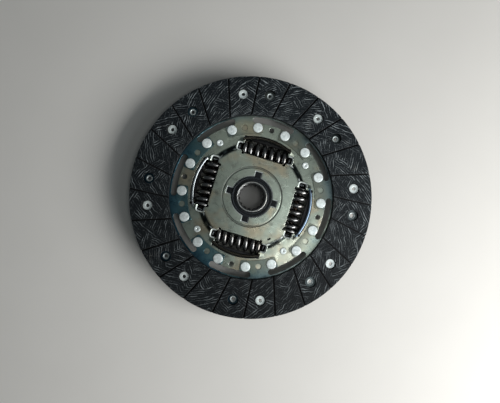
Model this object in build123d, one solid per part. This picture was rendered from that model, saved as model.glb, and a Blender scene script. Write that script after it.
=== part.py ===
from build123d import *
import math
import os

# Clutch driven plate with a torsion damper. Millimetres, +Z towards the bulged front side.
# The origin is on the disc's axis, level with the hub's rear end, on which the disc stands.
# Angles are in degrees about +Z, from +X towards +Y.

# ---- friction facings -------------------------------------------------------------------
facing_outer_r = 114.0
facing_inner_r = 77.5
facing_t = 3.5
facing_edge_chamfer = 0.3
groove_count = 24
groove_w = 1.7
groove_depth = 1.3
groove_offset = 17.3            # distance from each groove's line to the disc's axis
groove_angle = -0.5             # where the first groove crosses the rivet circle
groove_mouth = 2.2              # eased corner where a groove meets the inner edge

# ---- facing rivets (tubular) ------------------------------------------------------------
facing_rivet_r = 97.5           # radius of the circle the rivets stand on
front_rivet_angle = 21.6
rear_rivet_angle = 6.6
tube_rivet_head_d = 9.4
tube_rivet_head_t = 0.8
tube_rivet_shank_d = 4.8
tube_rivet_bore_d = 3.2
tube_rivet_roll_d = 6.3
tube_rivet_roll_t = 0.9
rivet_hole_clearance = 0.1      # on the radius of a rivet hole
facing_web_t = 1.2              # facing left under a counterbored head
head_side_clearance = 0.35      # round a head in its counterbore

# ---- cushion segments -------------------------------------------------------------------
segment_count = 8
segment_t = 0.7
segment_first_angle = 22.5
root_inner_r = 60.3
root_half_angle = 15.3
root_corner_r = 1.5
root_window_d = 5.7
paddle_inner_r = 76.1
paddle_outer_r = 111.5
paddle_gap = 0.8                # between two neighbouring paddles
slot_end_r = 2.8
slot_half_angle = 15.9          # half the length of the opening between two necks
neck_overlap = 2.0              # of a neck with the root and the paddle that it joins
wave_depth = 0.8
wave_flat_half = 9.5            # half-width of the level middle of a paddle
wave_ramp = 9.0

# ---- segment rivets ---------------------------------------------------------------------
segment_rivet_r = 66.0
segment_rivet_half_angle = 10.75
solid_rivet_d = 5.5
solid_rivet_head_d = 9.1
solid_rivet_head_t = 1.3
solid_rivet_rear_d = 8.2
solid_rivet_rear_t = 1.6
head_chamfer = 0.35

# ---- damper plates ----------------------------------------------------------------------
plate_t = 2.0
drive_plate_r = 70.5
counter_plate_r = 64.5
draw_height = 4.7               # of the raised centre above the rim
plateau_r = 46.3                # radius at which the raised centre starts to fall
wall_foot_r = 50.3              # radius at which the wall meets the rim
draw_bend_r = 1.6
emboss_r = 27.8                 # middle of the rounded groove pressed round the keyed hole
emboss_w = 2.0
emboss_depth = 0.3
key_edge_w = 0.8                # bevel round the keyed hole, seen from the front
key_edge_fall = 0.45
tool_hole_d = 4.7
tool_hole_r = 66.0              # radius of the circle the tool holes lie on
mark_length = 3.2
mark_w = 1.6
mark_r = 42.6
mark_angle = -51.0

# ---- spring windows ---------------------------------------------------------------------
window_count = 4
window_side_clearance = 0.35    # from a window's inner edge to the coils it holds in
window_relief_r = 1.3
slit_w = 1.2
slit_end_d = 2.8
slit_overrun = 0.4              # of a slit's end hole past the end of the window
strip_w = 2.0                   # raised strip between a window and its slit
strip_clearance = 0.8           # from the strip to the outer corner of the coils
strip_raise = 3.2
strip_crown = 0.3               # the middle of a strip's face stands this far above its edges
shoulder_level = 1.4            # level stretch before a strip's end slopes down
shoulder_ramp = 4.0
nest_end_clearance = 0.9
nest_corner_r = 1.5
nest_lip_w = 1.6                # lip that stands round a nest, level with the plate's face
nest_lip_fall = 0.6             # depth of the lip's inner slope
nest_lip_slope = 60.0           # of that slope, away from straight down

# ---- springs ----------------------------------------------------------------------------
spring_axis_r = 42.9
outer_wire_d = 4.0
outer_spring_d = 17.7
outer_spring_l = 42.7
outer_pitch = 6.8
inner_wire_d = 1.5
inner_spring_d = 5.8
inner_overhang = 4.15           # of an inner spring's end past the outer spring's end
inner_pitch = 2.8
spring_end_clearance = 0.1
spring_side_clearance = 0.45
nest_side_clearance = 0.3

# ---- stop pins --------------------------------------------------------------------------
pin_count = 4
pin_r = 59.4                    # radius of the circle the pins stand on
pin_angle = 47.3
pin_body_d = 7.0
pin_tenon_d = 5.0
pin_head_d = 6.2
pin_head_t = 1.0
pin_dimple_d = 1.8
pin_dimple_depth = 0.4

# ---- hub --------------------------------------------------------------------------------
spline_teeth = 15
spline_minor_r = 11.0
spline_major_r = 12.5
spline_space_inner_w = 2.9
spline_space_outer_w = 1.5
spline_angle = -1.0
bore_mouth_r = 13.3             # of the 45 degree lead-in at both ends
hub_front_r = 14.5
hub_rear_r = 17.0
hub_edge_chamfer = 0.5
hub_rear_l = 10.5               # from the hub's rear end to its flange
hub_front_l = 9.5               # from the flange to the hub's front end
flange_t = 4.0
flange_r = 61.2
flange_nest_corner_r = 0.6
twist_limit = 8.0               # the hub turns this far each way before the pins stop it
stop_clearance = 0.3
notch_floor_clearance = 0.6
flange_plate_gap = 0.5

# ---- friction stack round the hub -------------------------------------------------------
running_clearance = 0.05
friction_washer_t = 1.5
friction_outer_r = 27.0
washer_bore_clearance = 0.3
ring_collar_r = 18.9
ring_collar_raise = 1.2
ring_lip_w = 1.2
ring_lip_depth = 0.5
ring_fit_clearance = 0.3
ring_edge_chamfer = 0.3
lug_count = 4
lug_outer_r = 23.8
lug_w = 5.1
lug_raise = 0.3
support_t = 1.2
support_outer_r = 28.0
tab_count = 4
tab_angle = 45.0
tab_w = 5.0
tab_t = 1.2
tab_inner_r = 30.7
tab_fit_clearance = 0.2
diaphragm_t = 1.0
diaphragm_inner_r = 18.6
diaphragm_outer_r = 30.2
diaphragm_land = 1.0
counter_bore_clearance = 0.8

# ---- levels that follow -----------------------------------------------------------------
flange_rear_z = hub_rear_l
flange_front_z = flange_rear_z + flange_t
flange_mid_z = (flange_rear_z + flange_front_z) / 2
hub_top_z = flange_front_z + hub_front_l
rim_back_z = flange_front_z + flange_plate_gap
rim_front_z = rim_back_z + plate_t
plateau_back_z = rim_back_z + draw_height
plateau_front_z = plateau_back_z + plate_t
counter_rim_back_z = 2 * flange_mid_z - rim_front_z
counter_floor_z = 2 * flange_mid_z - plateau_back_z
segment_front_z = rim_front_z + segment_t
front_facing_z = segment_front_z
rear_facing_z = rim_front_z - wave_depth - facing_t

spring_mean_r = (outer_spring_d - outer_wire_d) / 2
inner_mean_r = (inner_spring_d - inner_wire_d) / 2
inner_spring_l = outer_spring_l + 2 * inner_overhang
window_half_l = outer_spring_l / 2 + spring_end_clearance
held_half_w = math.sqrt((outer_spring_d / 2) ** 2 - (plateau_back_z - flange_mid_z) ** 2)
window_inner_x = spring_axis_r - held_half_w - window_side_clearance
nest_half_w = inner_spring_d / 2 + nest_side_clearance
strip_level = rim_back_z + strip_raise - flange_mid_z
strip_coil_half_w = math.sqrt((outer_spring_d / 2) ** 2 - strip_level**2)
coil_corner_r = math.hypot(spring_axis_r + strip_coil_half_w, window_half_l)
strip_inner_r = coil_corner_r + strip_clearance
slit_inner_r = strip_inner_r + strip_w
slit_r = slit_inner_r + slit_w / 2
slit_half_angle = math.degrees(math.asin((window_half_l + slit_overrun) / slit_r))
tube_hole_r = tube_rivet_shank_d / 2 + rivet_hole_clearance
counterbore_r = tube_rivet_head_d / 2 + head_side_clearance
reach = 2 * facing_outer_r      # longer than any radius of the disc
cut_margin = 1.0                # how far a cut runs on past what it cuts


# ---- helpers ----------------------------------------------------------------------------
def around(count, first=0.0):
    """The angles of a pattern of equal steps round the axis."""
    return [first + 360.0 * k / count for k in range(count)]


def at(radius, angle, z=0.0):
    """A place on a circle round the axis, turned so that local X points outwards."""
    return Rot(0, 0, angle) * Pos(radius, 0, z)


def ring(r_in, r_out, z, height):
    """A flat ring that starts at z."""
    return Pos(0, 0, z) * extrude(Circle(r_out) - Circle(r_in), height)


def disc(radius, z, height):
    """A plain round disc that starts at z."""
    return Pos(0, 0, z) * extrude(Circle(radius), height)


def sector(r_in, r_out, half_angle, middle=0.0):
    """A flat piece of a ring, half_angle to each side of its middle."""
    outer = CenterArc((0, 0), r_out, middle - half_angle, 2 * half_angle)
    inner = CenterArc((0, 0), r_in, middle - half_angle, 2 * half_angle)
    sides = [Line(outer @ 0, inner @ 0), Line(outer @ 1, inner @ 1)]
    return make_face([outer, inner] + sides)


def through(outline, z0, z1):
    """A cutter that runs past both faces of what lies between z0 and z1."""
    return Pos(0, 0, z0 - cut_margin) * extrude(outline, z1 - z0 + 2 * cut_margin)


def box(x0, x1, y0, y1, z0, z1):
    """A block given by its limits."""
    size = Box(x1 - x0, y1 - y0, z1 - z0, align=(Align.MIN, Align.MIN, Align.MIN))
    return Pos(x0, y0, z0) * size


def turned(points):
    """A solid of revolution about Z, from its section's (radius, z) points."""
    section = make_face(Polyline([(r, 0, z) for r, z in points], close=True))
    return revolve(section, Axis.Z)


def save(node, shape):
    """Write one node: a lone solid, or a group of separate ones."""
    solids = shape.solids()
    whole = solids[0] if len(solids) == 1 else Compound(children=list(solids))
    whole.label = node
    export_step(whole, f"parts/{node}.step")


def each(shape, angles):
    """Copies of a shape at several angles round the axis, as one group."""
    return Compound(children=[Rot(0, 0, angle) * shape for angle in angles])


# ---- friction facings -------------------------------------------------------------------
def groove_cutter():
    """One straight groove, drawn for a groove that crosses the rivet circle at angle 0."""
    slant = math.degrees(math.asin(groove_offset / facing_rivet_r))
    length = facing_outer_r
    bar = Rectangle(length, groove_w)
    mouth_x = math.sqrt(facing_inner_r**2 - groove_offset**2)
    crossing_x = math.sqrt(facing_rivet_r**2 - groove_offset**2)
    mouth = Pos(mouth_x - crossing_x, 0) * Rectangle(groove_mouth, groove_mouth, rotation=45)
    outline = Rot(0, 0, -slant) * (bar + mouth)
    return at(facing_rivet_r, 0, facing_t - groove_depth) * extrude(outline, facing_t)


def facing(own_angle, other_angle):
    """A facing with its friction side up and its back at z = 0."""
    body = extrude(Circle(facing_outer_r) - Circle(facing_inner_r), facing_t)
    body = chamfer(body.edges().group_by(Axis.Z)[-1], facing_edge_chamfer)
    cutter = groove_cutter()
    for angle in around(groove_count, groove_angle):
        body -= Rot(0, 0, angle) * cutter
    shank_hole = through(Circle(tube_hole_r), 0, facing_t)
    counterbore = disc(counterbore_r, facing_web_t, facing_t)
    clearance_hole = through(Circle(counterbore_r), 0, facing_t)
    for angle in around(segment_count, own_angle):
        body -= at(facing_rivet_r, angle) * (shank_hole + counterbore)
    for angle in around(segment_count, other_angle):
        body -= at(facing_rivet_r, angle) * clearance_hole
    return body


def make_facings():
    front = Pos(0, 0, front_facing_z) * facing(front_rivet_angle, rear_rivet_angle)
    save("front_facing", front)
    # The rear facing is the same ring turned over about the X axis.
    turned_over = Rot(180, 0, 0) * facing(-rear_rivet_angle, -front_rivet_angle)
    save("rear_facing", Pos(0, 0, rear_facing_z + facing_t) * turned_over)


# ---- cushion segments -------------------------------------------------------------------
def wave_section(width):
    """Section of a paddle across its middle line: level middle, two slopes, two lower sides."""
    upper = [
        (-width, -wave_depth),
        (-wave_flat_half - wave_ramp, -wave_depth),
        (-wave_flat_half, 0),
        (wave_flat_half, 0),
        (wave_flat_half + wave_ramp, -wave_depth),
        (width, -wave_depth),
    ]
    lower = [(y, z - segment_t) for y, z in reversed(upper)]
    points = [(0, y, z) for y, z in upper + lower]
    return make_face(Polyline(points, close=True))


def cushion_segment():
    """One segment whose neck lies along +X, its upper face at z = 0."""
    half_pitch = 180.0 / segment_count
    neck_edge = half_pitch - slot_half_angle
    slot_mid_r = (drive_plate_r + paddle_inner_r) / 2
    end_angle = neck_edge + math.degrees(slot_end_r / slot_mid_r)
    root = sector(root_inner_r, drive_plate_r, root_half_angle)
    root = fillet(root.vertices(), root_corner_r)
    neck = sector(drive_plate_r - neck_overlap, paddle_inner_r + neck_overlap, end_angle)
    for side in (-1, 1):
        neck -= at(slot_mid_r, side * end_angle) * Circle(slot_end_r)
    flat = root + neck
    for side in (-1, 1):
        rivet_angle = side * segment_rivet_half_angle
        flat -= at(segment_rivet_r, rivet_angle) * Circle(solid_rivet_d / 2 + rivet_hole_clearance)
    flat -= Pos(segment_rivet_r, 0) * Circle(root_window_d / 2)
    tongue = Pos(0, 0, -segment_t) * extrude(flat, segment_t)

    gap_angle = math.degrees(paddle_gap / 2 / facing_rivet_r)
    outline = sector(paddle_inner_r, paddle_outer_r, half_pitch - gap_angle)
    paddle = extrude(wave_section(paddle_outer_r), paddle_outer_r, dir=(1, 0, 0))
    depth = wave_depth + segment_t
    paddle &= through(outline, -depth, 0)
    tube_hole = through(Circle(tube_hole_r), -depth, 0)
    for angle in (front_rivet_angle, rear_rivet_angle):
        paddle -= at(facing_rivet_r, angle - segment_first_angle) * tube_hole
    return tongue + paddle


def make_segments():
    segment = Pos(0, 0, segment_front_z) * cushion_segment()
    for k, angle in enumerate(around(segment_count, segment_first_angle)):
        save(f"cushion_segment_{k + 1}", Rot(0, 0, angle) * segment)


# ---- rivets and pins --------------------------------------------------------------------
def tube_rivet():
    """A tubular rivet: flat head up, its seat at z = 0, its rolled end below the segment."""
    grip = facing_web_t + segment_t
    outer = tube_rivet_head_d / 2
    shank = tube_rivet_shank_d / 2
    roll = tube_rivet_roll_d / 2
    bore = tube_rivet_bore_d / 2
    ease = tube_rivet_roll_t / 3
    points = [
        (bore, tube_rivet_head_t),
        (outer - ease, tube_rivet_head_t),
        (outer, tube_rivet_head_t - ease),
        (outer, 0),
        (shank, 0),
        (shank, -grip),
        (roll, -grip),
        (roll, -grip - ease),
        (roll - ease, -grip - tube_rivet_roll_t),
        (bore + ease, -grip - tube_rivet_roll_t),
        (bore, -grip - tube_rivet_roll_t + ease),
    ]
    return turned(points)


def make_facing_rivets():
    rivet = tube_rivet()
    front = at(facing_rivet_r, 0, front_facing_z + facing_web_t) * rivet
    save("front_facing_rivets", each(front, around(segment_count, front_rivet_angle)))
    seat_z = rear_facing_z + facing_t - facing_web_t
    rear = at(facing_rivet_r, 0, seat_z) * Rot(180, 0, 0) * rivet
    save("rear_facing_rivets", each(rear, around(segment_count, rear_rivet_angle)))


def make_segment_rivets():
    head = solid_rivet_head_d / 2
    shank = solid_rivet_d / 2
    rear = solid_rivet_rear_d / 2
    points = [
        (0, segment_front_z + solid_rivet_head_t),
        (head - head_chamfer, segment_front_z + solid_rivet_head_t),
        (head, segment_front_z + solid_rivet_head_t - head_chamfer),
        (head, segment_front_z),
        (shank, segment_front_z),
        (shank, rim_back_z),
        (rear, rim_back_z),
        (rear - head_chamfer, rim_back_z - solid_rivet_rear_t),
        (0, rim_back_z - solid_rivet_rear_t),
    ]
    rivet = Pos(segment_rivet_r, 0, 0) * turned(points)
    angles = []
    for angle in around(segment_count, segment_first_angle):
        angles += [angle - segment_rivet_half_angle, angle + segment_rivet_half_angle]
    save("segment_rivets", each(rivet, angles))


def make_stop_pins():
    body = pin_body_d / 2
    tenon = pin_tenon_d / 2
    head = pin_head_d / 2
    dimple = pin_dimple_d / 2
    counter_rim_top_z = counter_rim_back_z + plate_t
    points = [
        (0, rim_front_z + pin_head_t - pin_dimple_depth),
        (dimple, rim_front_z + pin_head_t),
        (head - head_chamfer, rim_front_z + pin_head_t),
        (head, rim_front_z + pin_head_t - head_chamfer),
        (head, rim_front_z),
        (tenon, rim_front_z),
        (tenon, rim_back_z),
        (body, rim_back_z),
        (body, counter_rim_top_z),
        (tenon, counter_rim_top_z),
        (tenon, counter_rim_back_z),
        (head, counter_rim_back_z),
        (head - head_chamfer, counter_rim_back_z - pin_head_t),
        (0, counter_rim_back_z - pin_head_t),
    ]
    pin = Pos(pin_r, 0, 0) * turned(points)
    save("stop_pins", each(pin, around(pin_count, pin_angle)))


# ---- damper plates ----------------------------------------------------------------------
def window_outline(inner_x, outer_x, half_l, nest_half_l, corner_r):
    """Window of one spring pair: wide for the outer spring, with a nest at each end."""
    main = Pos((inner_x + outer_x) / 2, 0) * Rectangle(outer_x - inner_x, 2 * half_l)
    nest = Rectangle(2 * nest_half_w, 2 * nest_half_l)
    nest = fillet(nest.vertices(), corner_r)
    return main + Pos(spring_axis_r, 0) * nest


def crowned_strip():
    """One raised strip over the middle of a window, with a level back and a rounded face."""
    middle_r = (strip_inner_r + slit_inner_r) / 2
    face_z = strip_raise + plate_t
    shoulder_z = face_z - strip_crown
    sides = Polyline(
        (strip_inner_r, 0, shoulder_z),
        (strip_inner_r, 0, strip_raise),
        (slit_inner_r, 0, strip_raise),
        (slit_inner_r, 0, shoulder_z),
    )
    crown = ThreePointArc(sides @ 1, (middle_r, 0, face_z), sides @ 0)
    strip = revolve(make_face([sides, crown]), Axis.Z, revolution_arc=2 * slit_half_angle)
    return Rot(0, 0, -slit_half_angle) * strip


def damper_plate(outer_r, bore_r):
    """A drawn plate with its four windows, its rim's back at z = 0 and its bulge upwards."""
    steep = math.atan2(draw_height, wall_foot_r - plateau_r)
    shift = plate_t * math.tan(steep / 2)
    lower = FilletPolyline(
        (bore_r, 0, draw_height),
        (plateau_r, 0, draw_height),
        (wall_foot_r, 0, 0),
        (outer_r, 0, 0),
        radius=[draw_bend_r, draw_bend_r + plate_t],
    )
    upper = FilletPolyline(
        (bore_r, 0, draw_height + plate_t),
        (plateau_r + shift, 0, draw_height + plate_t),
        (wall_foot_r + shift, 0, plate_t),
        (outer_r, 0, plate_t),
        radius=[draw_bend_r + plate_t, draw_bend_r],
    )
    ends = [Line(lower @ 0, upper @ 0), Line(lower @ 1, upper @ 1)]
    body = revolve(make_face([lower, upper] + ends), Axis.Z)

    top = draw_height + plate_t
    strip_front = strip_raise + plate_t
    level_end = window_half_l + shoulder_level
    ramp_end = level_end + shoulder_ramp

    # The rim inside the slit is cut away, then put back raised: strip and sloping shoulders.
    opened = through(sector(spring_axis_r, slit_inner_r, slit_half_angle), 0, plate_t)
    shoulder_x = spring_axis_r + nest_half_w
    pocket = box(shoulder_x, reach, -ramp_end, ramp_end, -cut_margin, top + cut_margin)
    pocket &= through(Circle(slit_inner_r), 0, top)
    slope = [
        (-ramp_end, 0),
        (-ramp_end, plate_t),
        (-level_end, strip_front),
        (level_end, strip_front),
        (ramp_end, plate_t),
        (ramp_end, 0),
        (ramp_end - shoulder_level, 0),
        (window_half_l + shoulder_level / 2, strip_raise),
        (-window_half_l - shoulder_level / 2, strip_raise),
        (-ramp_end + shoulder_level, 0),
    ]
    slope_face = make_face(Polyline([(0, y, z) for y, z in slope], close=True))
    raised = extrude(slope_face, reach, dir=(1, 0, 0)) & pocket
    raised -= through(sector(strip_inner_r, slit_inner_r, slit_half_angle), 0, top)
    raised += crowned_strip()

    slit = sector(slit_inner_r, slit_r + slit_w / 2, slit_half_angle)
    for side in (-1, 1):
        slit += at(slit_r, side * slit_half_angle) * Circle(slit_end_d / 2)
    slit = through(slit, 0, top)

    nest_half_l = inner_spring_l / 2 + nest_end_clearance
    outline = window_outline(
        window_inner_x, reach, window_half_l, nest_half_l, nest_corner_r
    )
    outline &= Circle(strip_inner_r)
    for side in (-1, 1):
        corner = Pos(window_inner_x, side * (window_half_l - window_relief_r))
        outline += corner * Circle(window_relief_r)
    window = through(outline, 0, top)
    nest = fillet(Rectangle(2 * nest_half_w, 2 * nest_half_l).vertices(), nest_corner_r)
    lip_foot = Pos(spring_axis_r, 0, plate_t / 2)
    lip = lip_foot * extrude(offset(nest, nest_lip_w), top - plate_t / 2)
    fall_foot = Pos(spring_axis_r, 0, top - nest_lip_fall)
    fall = fall_foot * extrude(nest, nest_lip_fall + cut_margin, taper=-nest_lip_slope)

    for angle in around(window_count):
        turn = Rot(0, 0, angle)
        body -= turn * pocket
        body -= turn * opened
        body += turn * raised
        body += turn * lip
        body -= turn * window
        body -= turn * fall
        body -= turn * slit
    pin_hole = through(Circle(pin_tenon_d / 2 + rivet_hole_clearance), 0, plate_t)
    return body, pin_hole


def key_outline(radius, outer_r, width):
    """Round outline with four lugs."""
    shape = Circle(radius)
    for angle in around(lug_count):
        lug = Pos(outer_r / 2, 0) * Rectangle(outer_r, width)
        shape += Rot(0, 0, angle) * lug
    return shape


def make_drive_plate():
    body, pin_hole = damper_plate(drive_plate_r, hub_front_r)
    keyed = key_outline(
        ring_collar_r + ring_fit_clearance,
        lug_outer_r + ring_fit_clearance,
        lug_w + 2 * ring_fit_clearance,
    )
    face_z = draw_height + plate_t
    body -= through(keyed, draw_height, face_z)
    face_edges = body.edges().filter_by_position(Axis.Z, face_z, face_z)
    key_reach = lug_outer_r + 2 * ring_fit_clearance
    key_edges = [edge for edge in face_edges if abs(edge.center()) < math.hypot(key_reach, face_z)]
    plateau_face = body.faces().filter_by_position(Axis.Z, face_z, face_z).sort_by(SortBy.AREA)[-1]
    body = chamfer(key_edges, key_edge_w, key_edge_fall, reference=plateau_face)
    emboss_curve = ((emboss_w / 2) ** 2 + emboss_depth**2) / (2 * emboss_depth)
    body -= Pos(0, 0, face_z - emboss_depth + emboss_curve) * Torus(emboss_r, emboss_curve)
    mark = through(Rectangle(mark_w, mark_length), draw_height, face_z)
    body -= at(mark_r, mark_angle) * mark
    for angle in around(pin_count, pin_angle):
        body -= at(pin_r, angle) * pin_hole
    for angle in around(window_count):
        body -= at(tool_hole_r, angle) * through(Circle(tool_hole_d / 2), 0, plate_t)
    rivet_hole = through(Circle(solid_rivet_d / 2 + rivet_hole_clearance), 0, plate_t)
    for angle in around(segment_count, segment_first_angle):
        for side in (-1, 1):
            place = at(segment_rivet_r, angle + side * segment_rivet_half_angle)
            body -= place * rivet_hole
    save("drive_plate", Pos(0, 0, rim_back_z) * body)


def make_counter_plate():
    bore_r = hub_rear_r + counter_bore_clearance
    body, pin_hole = damper_plate(counter_plate_r, bore_r)
    # It is built bulge upwards and turned over about the X axis, so its angles change sign.
    for angle in around(pin_count, -pin_angle):
        body -= at(pin_r, angle) * pin_hole
    slot = Rectangle(tab_t + 2 * tab_fit_clearance, tab_w + 2 * tab_fit_clearance)
    slot = through(slot, draw_height, draw_height + plate_t)
    for angle in around(tab_count, -tab_angle):
        body -= at(tab_inner_r + tab_t / 2, angle) * slot
    save("counter_plate", Pos(0, 0, counter_rim_back_z + plate_t) * Rot(180, 0, 0) * body)


# ---- springs ----------------------------------------------------------------------------
def coil_spring(mean_r, wire_d, pitch, length, lefthand):
    """A coil spring along Z, centred, its two ends ground flat."""
    over = 2 * wire_d
    helix = Helix(pitch=pitch, height=length + over, radius=mean_r, lefthand=lefthand)
    section = Plane(origin=helix @ 0, z_dir=helix % 0) * Circle(wire_d / 2)
    coil = Pos(0, 0, -(length + over) / 2) * sweep(section, path=helix, is_frenet=True)
    slab = Box(4 * mean_r, 4 * mean_r, length)
    return coil & slab


def make_springs():
    # A nested pair is wound in opposite ways, so that its coils can't tangle.
    outer = coil_spring(spring_mean_r, outer_wire_d, outer_pitch, outer_spring_l, False)
    inner = coil_spring(inner_mean_r, inner_wire_d, inner_pitch, inner_spring_l, True)
    for k, angle in enumerate(around(window_count)):
        place = at(spring_axis_r, angle, flange_mid_z) * Rot(90, 0, 0)
        save(f"outer_spring_{k + 1}", place * outer)
        save(f"inner_spring_{k + 1}", place * inner)


# ---- hub --------------------------------------------------------------------------------
def make_hub():
    body = disc(hub_rear_r, 0, hub_rear_l) + disc(flange_r, flange_rear_z, flange_t)
    body += disc(hub_front_r, flange_front_z, hub_front_l)
    ends = body.edges().filter_by(GeomType.CIRCLE).group_by(Axis.Z)
    body = chamfer(ends[0] + ends[-1], hub_edge_chamfer)

    bore = Circle(spline_minor_r)
    space = make_face(
        Polyline(
            (spline_minor_r - cut_margin, -spline_space_inner_w / 2),
            (spline_minor_r, -spline_space_inner_w / 2),
            (spline_major_r, -spline_space_outer_w / 2),
            (spline_major_r, spline_space_outer_w / 2),
            (spline_minor_r, spline_space_inner_w / 2),
            (spline_minor_r - cut_margin, spline_space_inner_w / 2),
            close=True,
        )
    )
    for angle in around(spline_teeth, spline_angle):
        bore += Rot(0, 0, angle) * space
    body -= through(bore, 0, hub_top_z)
    for z, inward in ((0, 1), (hub_top_z, -1)):
        cone = [
            (0, z - inward * cut_margin),
            (bore_mouth_r, z - inward * cut_margin),
            (bore_mouth_r, z),
            (0, z + inward * bore_mouth_r),
        ]
        body -= turned(cone)

    side = outer_spring_d / 2 + spring_side_clearance
    outline = window_outline(
        spring_axis_r - side,
        spring_axis_r + side,
        window_half_l,
        inner_spring_l / 2 + spring_end_clearance,
        flange_nest_corner_r,
    )
    window = through(outline, flange_rear_z, flange_front_z)
    for angle in around(window_count):
        body -= Rot(0, 0, angle) * window

    floor_r = pin_r - pin_body_d / 2 - notch_floor_clearance
    pin_half_angle = math.degrees(math.asin((pin_body_d / 2 + stop_clearance) / pin_r))
    notch = sector(floor_r, reach, twist_limit + pin_half_angle)
    notch = through(notch, flange_rear_z, flange_front_z)
    for angle in around(pin_count, pin_angle):
        body -= Rot(0, 0, angle) * notch
    save("hub", body)


# ---- friction stack round the hub -------------------------------------------------------
def make_centring_ring():
    bore_r = hub_front_r + running_clearance
    foot_z = flange_front_z + running_clearance + friction_washer_t
    collar_top = plateau_front_z + ring_collar_raise
    body = ring(bore_r, friction_outer_r, foot_z, plateau_back_z - foot_z)
    lugs = key_outline(bore_r, lug_outer_r, lug_w) - Circle(bore_r)
    lug_height = plate_t + lug_raise
    body += Pos(0, 0, plateau_back_z) * extrude(lugs, lug_height)
    collar = ring(bore_r, ring_collar_r, plateau_back_z, collar_top - plateau_back_z)
    collar = chamfer(collar.edges().group_by(Axis.Z)[-1], ring_edge_chamfer)
    body += collar
    lip_r = bore_r + ring_lip_w
    groove = ring(lip_r, ring_collar_r - ring_lip_w, collar_top - ring_lip_depth, cut_margin)
    save("centring_ring", body - groove)


def make_friction_washers():
    bore_r = hub_front_r + washer_bore_clearance
    front_z = flange_front_z + running_clearance
    save("front_friction_washer", ring(bore_r, friction_outer_r, front_z, friction_washer_t))
    bore_r = hub_rear_r + washer_bore_clearance
    rear_z = flange_rear_z - running_clearance - friction_washer_t
    save("rear_friction_washer", ring(bore_r, friction_outer_r, rear_z, friction_washer_t))


def make_support_washer():
    top_z = flange_rear_z - running_clearance - friction_washer_t
    bottom_z = top_z - support_t
    body = ring(hub_rear_r + washer_bore_clearance, support_outer_r, bottom_z, support_t)
    tab_end_z = counter_floor_z - plate_t / 2
    half_w = tab_w / 2
    arm_r = support_outer_r - tab_t
    arm = box(arm_r, tab_inner_r + tab_t, -half_w, half_w, bottom_z, top_z)
    leg = box(tab_inner_r, tab_inner_r + tab_t, -half_w, half_w, tab_end_z, top_z)
    for angle in around(tab_count, tab_angle):
        body += Rot(0, 0, angle) * (arm + leg)
    save("support_washer", body)


def make_diaphragm_spring():
    top_z = flange_rear_z - running_clearance - friction_washer_t - support_t
    floor_z = counter_floor_z
    points = [
        (diaphragm_inner_r, top_z),
        (diaphragm_inner_r, top_z - diaphragm_t),
        (diaphragm_outer_r - diaphragm_land, floor_z),
        (diaphragm_outer_r, floor_z),
        (diaphragm_outer_r, floor_z + diaphragm_t),
        (diaphragm_inner_r + diaphragm_land, top_z),
    ]
    save("diaphragm_spring", turned(points))


os.makedirs("parts", exist_ok=True)
make_facings()
make_segments()
make_facing_rivets()
make_segment_rivets()
make_stop_pins()
make_drive_plate()
make_counter_plate()
make_springs()
make_hub()
make_centring_ring()
make_friction_washers()
make_support_washer()
make_diaphragm_spring()
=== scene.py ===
# %% [markdown]
# # A clutch disc
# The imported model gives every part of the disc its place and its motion. This lesson adds the
# looks: wound springs, rounded rivets, a friction lining full of yarn ends, oily pressed steel,
# and the soft light of a workbench beside a window. It starts by loading the model as a frame
# that nothing here may move.

import math

import bmesh
import bpy
import numpy as np
from mathutils import Matrix, Vector


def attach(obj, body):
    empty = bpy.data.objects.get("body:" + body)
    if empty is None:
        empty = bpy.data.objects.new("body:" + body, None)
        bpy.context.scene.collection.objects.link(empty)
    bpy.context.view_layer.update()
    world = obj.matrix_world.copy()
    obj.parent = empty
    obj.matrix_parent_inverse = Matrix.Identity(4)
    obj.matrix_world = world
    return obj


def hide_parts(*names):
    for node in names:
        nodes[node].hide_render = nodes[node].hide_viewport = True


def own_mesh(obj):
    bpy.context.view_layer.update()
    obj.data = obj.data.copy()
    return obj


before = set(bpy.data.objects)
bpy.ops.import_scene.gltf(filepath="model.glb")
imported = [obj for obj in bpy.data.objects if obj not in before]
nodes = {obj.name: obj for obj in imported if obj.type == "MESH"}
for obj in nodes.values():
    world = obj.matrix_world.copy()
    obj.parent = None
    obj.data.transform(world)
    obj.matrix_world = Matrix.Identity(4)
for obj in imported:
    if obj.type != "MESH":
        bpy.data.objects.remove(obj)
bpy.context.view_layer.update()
MM = 0.001

# %% [markdown]
# ## From numbers to a mesh
# A mesh could be drawn face by face, but a wound wire or a turned head is a formula, so its
# points are worked out as whole arrays. They form a grid of rows and columns, and the faces
# only join neighbours in that grid. Points that fall together, as at a pole, are merged, and
# the faces are turned to look outwards.


# %% A grid of points becomes a mesh
def grid_faces(rows, columns, rows_close):
    """Corners of each face of a grid whose columns always close, and whose rows may."""
    i, j = np.meshgrid(np.arange(rows - (not rows_close)), np.arange(columns), indexing="ij")
    below, beside = (i + 1) % rows, (j + 1) % columns
    corners = [i * columns + j, i * columns + beside, below * columns + beside, below * columns + j]
    return np.stack([c.ravel() for c in corners], axis=1)


def make_piece(name, points, faces):
    """A mesh object at the origin, merged, closed and smooth, from points in metres."""
    mesh = bpy.data.meshes.new(name)
    mesh.from_pydata(points.tolist(), [], faces.tolist())
    shape = bmesh.new()
    shape.from_mesh(mesh)
    bmesh.ops.remove_doubles(shape, verts=shape.verts, dist=1e-7)
    bmesh.ops.recalc_face_normals(shape, faces=shape.faces)
    shape.to_mesh(mesh)
    shape.free()
    mesh.shade_smooth()
    piece = bpy.data.objects.new(name, mesh)
    bpy.context.scene.collection.objects.link(piece)
    return piece


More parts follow.
